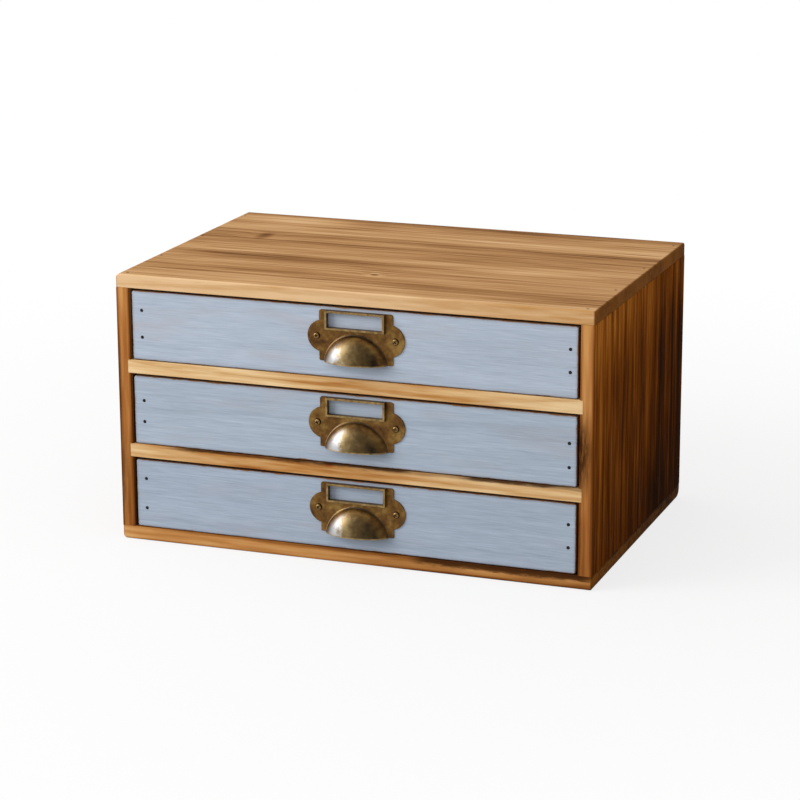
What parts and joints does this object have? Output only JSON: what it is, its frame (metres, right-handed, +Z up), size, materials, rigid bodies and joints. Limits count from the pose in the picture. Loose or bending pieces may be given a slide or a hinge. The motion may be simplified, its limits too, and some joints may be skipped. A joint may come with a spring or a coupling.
{
  "type": "desktop drawer chest",
  "caption": "Small wooden chest for a desk, its drawers sliding straight out, each with a painted front and a cup pull with a label frame.",
  "frame": {"origin": "centre of the case's footprint, on the face that it stands on", "axes": "+X to the right of someone facing the drawers, -Y out of the drawers, +Z up"},
  "size_m": [0.36, 0.2515, 0.2],
  "materials": {
    "torched_pine": "satin, torched and brushed pine",
    "bare_pine": "bare planed pine",
    "plywood": "bare thin plywood",
    "blue_paint": "matt blue-grey paint, thin over the grain",
    "antique_brass": "antique brass, dark with rubbed highlights",
    "dark_steel": "dark steel wire nails"
  },
  "bodies": {
    "case": {"top_board": "torched_pine", "bottom_board": "torched_pine", "left_side": "torched_pine", "right_side": "torched_pine", "lower_shelf": "torched_pine", "upper_shelf": "torched_pine", "back_panel": "plywood", "top_nails": "dark_steel", "bottom_nails": "dark_steel", "back_pins": "dark_steel"},
    "bottom_drawer": {"bottom_drawer_front": "blue_paint", "bottom_drawer_left_side": "bare_pine", "bottom_drawer_right_side": "bare_pine", "bottom_drawer_back": "bare_pine", "bottom_drawer_floor": "plywood", "bottom_drawer_front_nails": "dark_steel", "bottom_drawer_back_nails": "dark_steel", "bottom_drawer_floor_pins": "dark_steel", "bottom_drawer_cup_pull": "antique_brass", "bottom_drawer_pull_screws": "antique_brass"},
    "middle_drawer": {"middle_drawer_front": "blue_paint", "middle_drawer_left_side": "bare_pine", "middle_drawer_right_side": "bare_pine", "middle_drawer_back": "bare_pine", "middle_drawer_floor": "plywood", "middle_drawer_front_nails": "dark_steel", "middle_drawer_back_nails": "dark_steel", "middle_drawer_floor_pins": "dark_steel", "middle_drawer_cup_pull": "antique_brass", "middle_drawer_pull_screws": "antique_brass"},
    "top_drawer": {"top_drawer_front": "blue_paint", "top_drawer_left_side": "bare_pine", "top_drawer_right_side": "bare_pine", "top_drawer_back": "bare_pine", "top_drawer_floor": "plywood", "top_drawer_front_nails": "dark_steel", "top_drawer_back_nails": "dark_steel", "top_drawer_floor_pins": "dark_steel", "top_drawer_cup_pull": "antique_brass", "top_drawer_pull_screws": "antique_brass"}
  },
  "joints": [
    {"name": "bottom_drawer_slide", "type": "slide", "parent": "case", "child": "bottom_drawer", "axis": [0, -1, 0], "range_m": [0, 0.19]},
    {"name": "middle_drawer_slide", "type": "slide", "parent": "case", "child": "middle_drawer", "axis": [0, -1, 0], "range_m": [0, 0.19]},
    {"name": "top_drawer_slide", "type": "slide", "parent": "case", "child": "top_drawer", "axis": [0, -1, 0], "range_m": [0, 0.19]}
  ]
}
